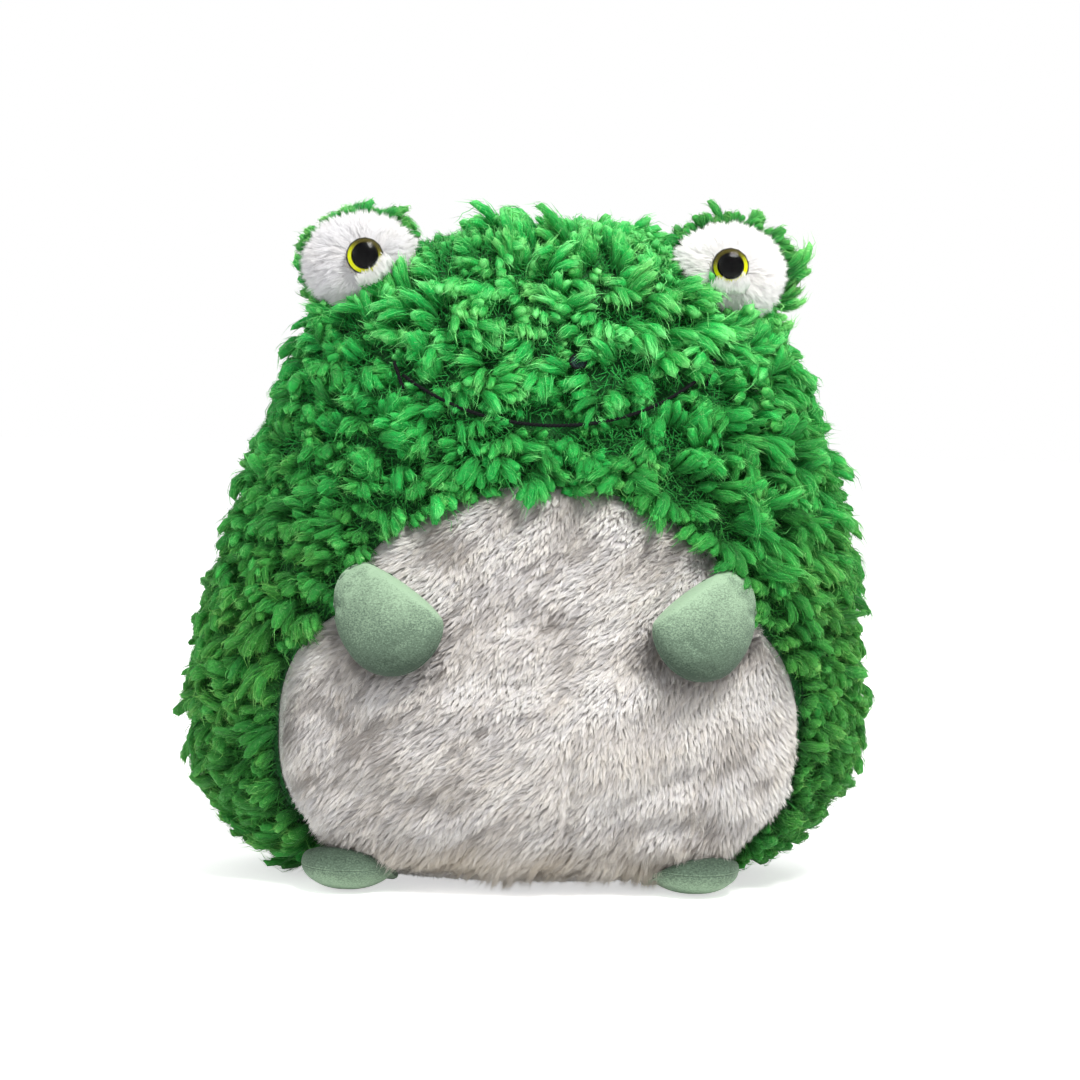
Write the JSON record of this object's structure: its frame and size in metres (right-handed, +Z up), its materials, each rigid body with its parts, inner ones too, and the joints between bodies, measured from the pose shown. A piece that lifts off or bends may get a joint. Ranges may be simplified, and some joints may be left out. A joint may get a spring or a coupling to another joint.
{
  "type": "frog cushion",
  "caption": "Squat stuffed frog cushion of shaggy green plush with a white plush belly, raised eye bumps with domed plastic eyes, a stitched smile and limp velour arms and feet.",
  "frame": {"origin": "middle of the part's box at the level it sits on", "axes": "+Z up, the frog looks along -Y, +X is the frog's left side"},
  "size_m": [0.298, 0.187, 0.2885],
  "materials": {
    "green_fur": "long shaggy plush in curled locks, green with brighter tips",
    "white_plush": "short soft plush, off-white, brushed in streaks",
    "white_bump_fur": "straight white fur of about 6 mm",
    "sage_velour": "very short grey-green velour",
    "wadding": "polyester fibre filling",
    "black_thread": "twisted embroidery thread",
    "clear_lens": "clear moulded dome",
    "yellow_iris": "yellow paint behind the dome",
    "eye_black": "black moulded plastic",
    "washer_plastic": "natural moulded plastic"
  },
  "bodies": {
    "body": {"front_fur_panel": "green_fur", "back_fur_panel_left": "green_fur", "back_fur_panel_right": "green_fur", "belly_panel": "white_plush", "base_panel": "white_plush", "body_filling": "wadding", "mouth_stitch": "black_thread", "right_mouth_corner_stitch": "black_thread", "left_mouth_corner_stitch": "black_thread", "right_nostril_stitch": "black_thread", "left_nostril_stitch": "black_thread", "right_eye_bump_back": "green_fur", "right_eye_bump_front": "white_bump_fur", "right_eye_bump_filling": "wadding", "right_eye_lens": "clear_lens", "right_eye_iris": "yellow_iris", "right_eye_pupil": "eye_black", "right_eye_shank": "eye_black", "right_eye_washer": "washer_plastic", "left_eye_bump_back": "green_fur", "left_eye_bump_front": "white_bump_fur", "left_eye_bump_filling": "wadding", "left_eye_lens": "clear_lens", "left_eye_iris": "yellow_iris", "left_eye_pupil": "eye_black", "left_eye_shank": "eye_black", "left_eye_washer": "washer_plastic"},
    "right_arm": {"right_arm_top_panel": "sage_velour", "right_arm_under_panel": "sage_velour", "right_arm_filling": "wadding"},
    "right_foot": {"right_foot_top_panel": "sage_velour", "right_foot_sole_panel": "sage_velour", "right_foot_filling": "wadding"},
    "left_arm": {"left_arm_top_panel": "sage_velour", "left_arm_under_panel": "sage_velour", "left_arm_filling": "wadding"},
    "left_foot": {"left_foot_top_panel": "sage_velour", "left_foot_sole_panel": "sage_velour", "left_foot_filling": "wadding"}
  },
  "joints": [
    {"name": "right_arm_seam", "type": "hinge", "parent": "body", "child": "right_arm", "pos_m": [-0.08308, -0.06489, 0.13454], "axis": [-0.6899, 0.0708, -0.7204], "range_deg": [0, 75]},
    {"name": "left_arm_seam", "type": "hinge", "parent": "body", "child": "left_arm", "pos_m": [0.08308, -0.06489, 0.13454], "axis": [-0.6899, -0.0708, 0.7204], "range_deg": [0, 75]},
    {"name": "right_foot_seam", "type": "hinge", "parent": "body", "child": "right_foot", "pos_m": [-0.06659, -0.02007, 0.00419], "axis": [0.9781, -0.2079, 0], "range_deg": [0, 50]},
    {"name": "left_foot_seam", "type": "hinge", "parent": "body", "child": "left_foot", "pos_m": [0.06659, -0.02007, 0.00419], "axis": [0.9781, 0.2079, 0], "range_deg": [0, 50]}
  ]
}
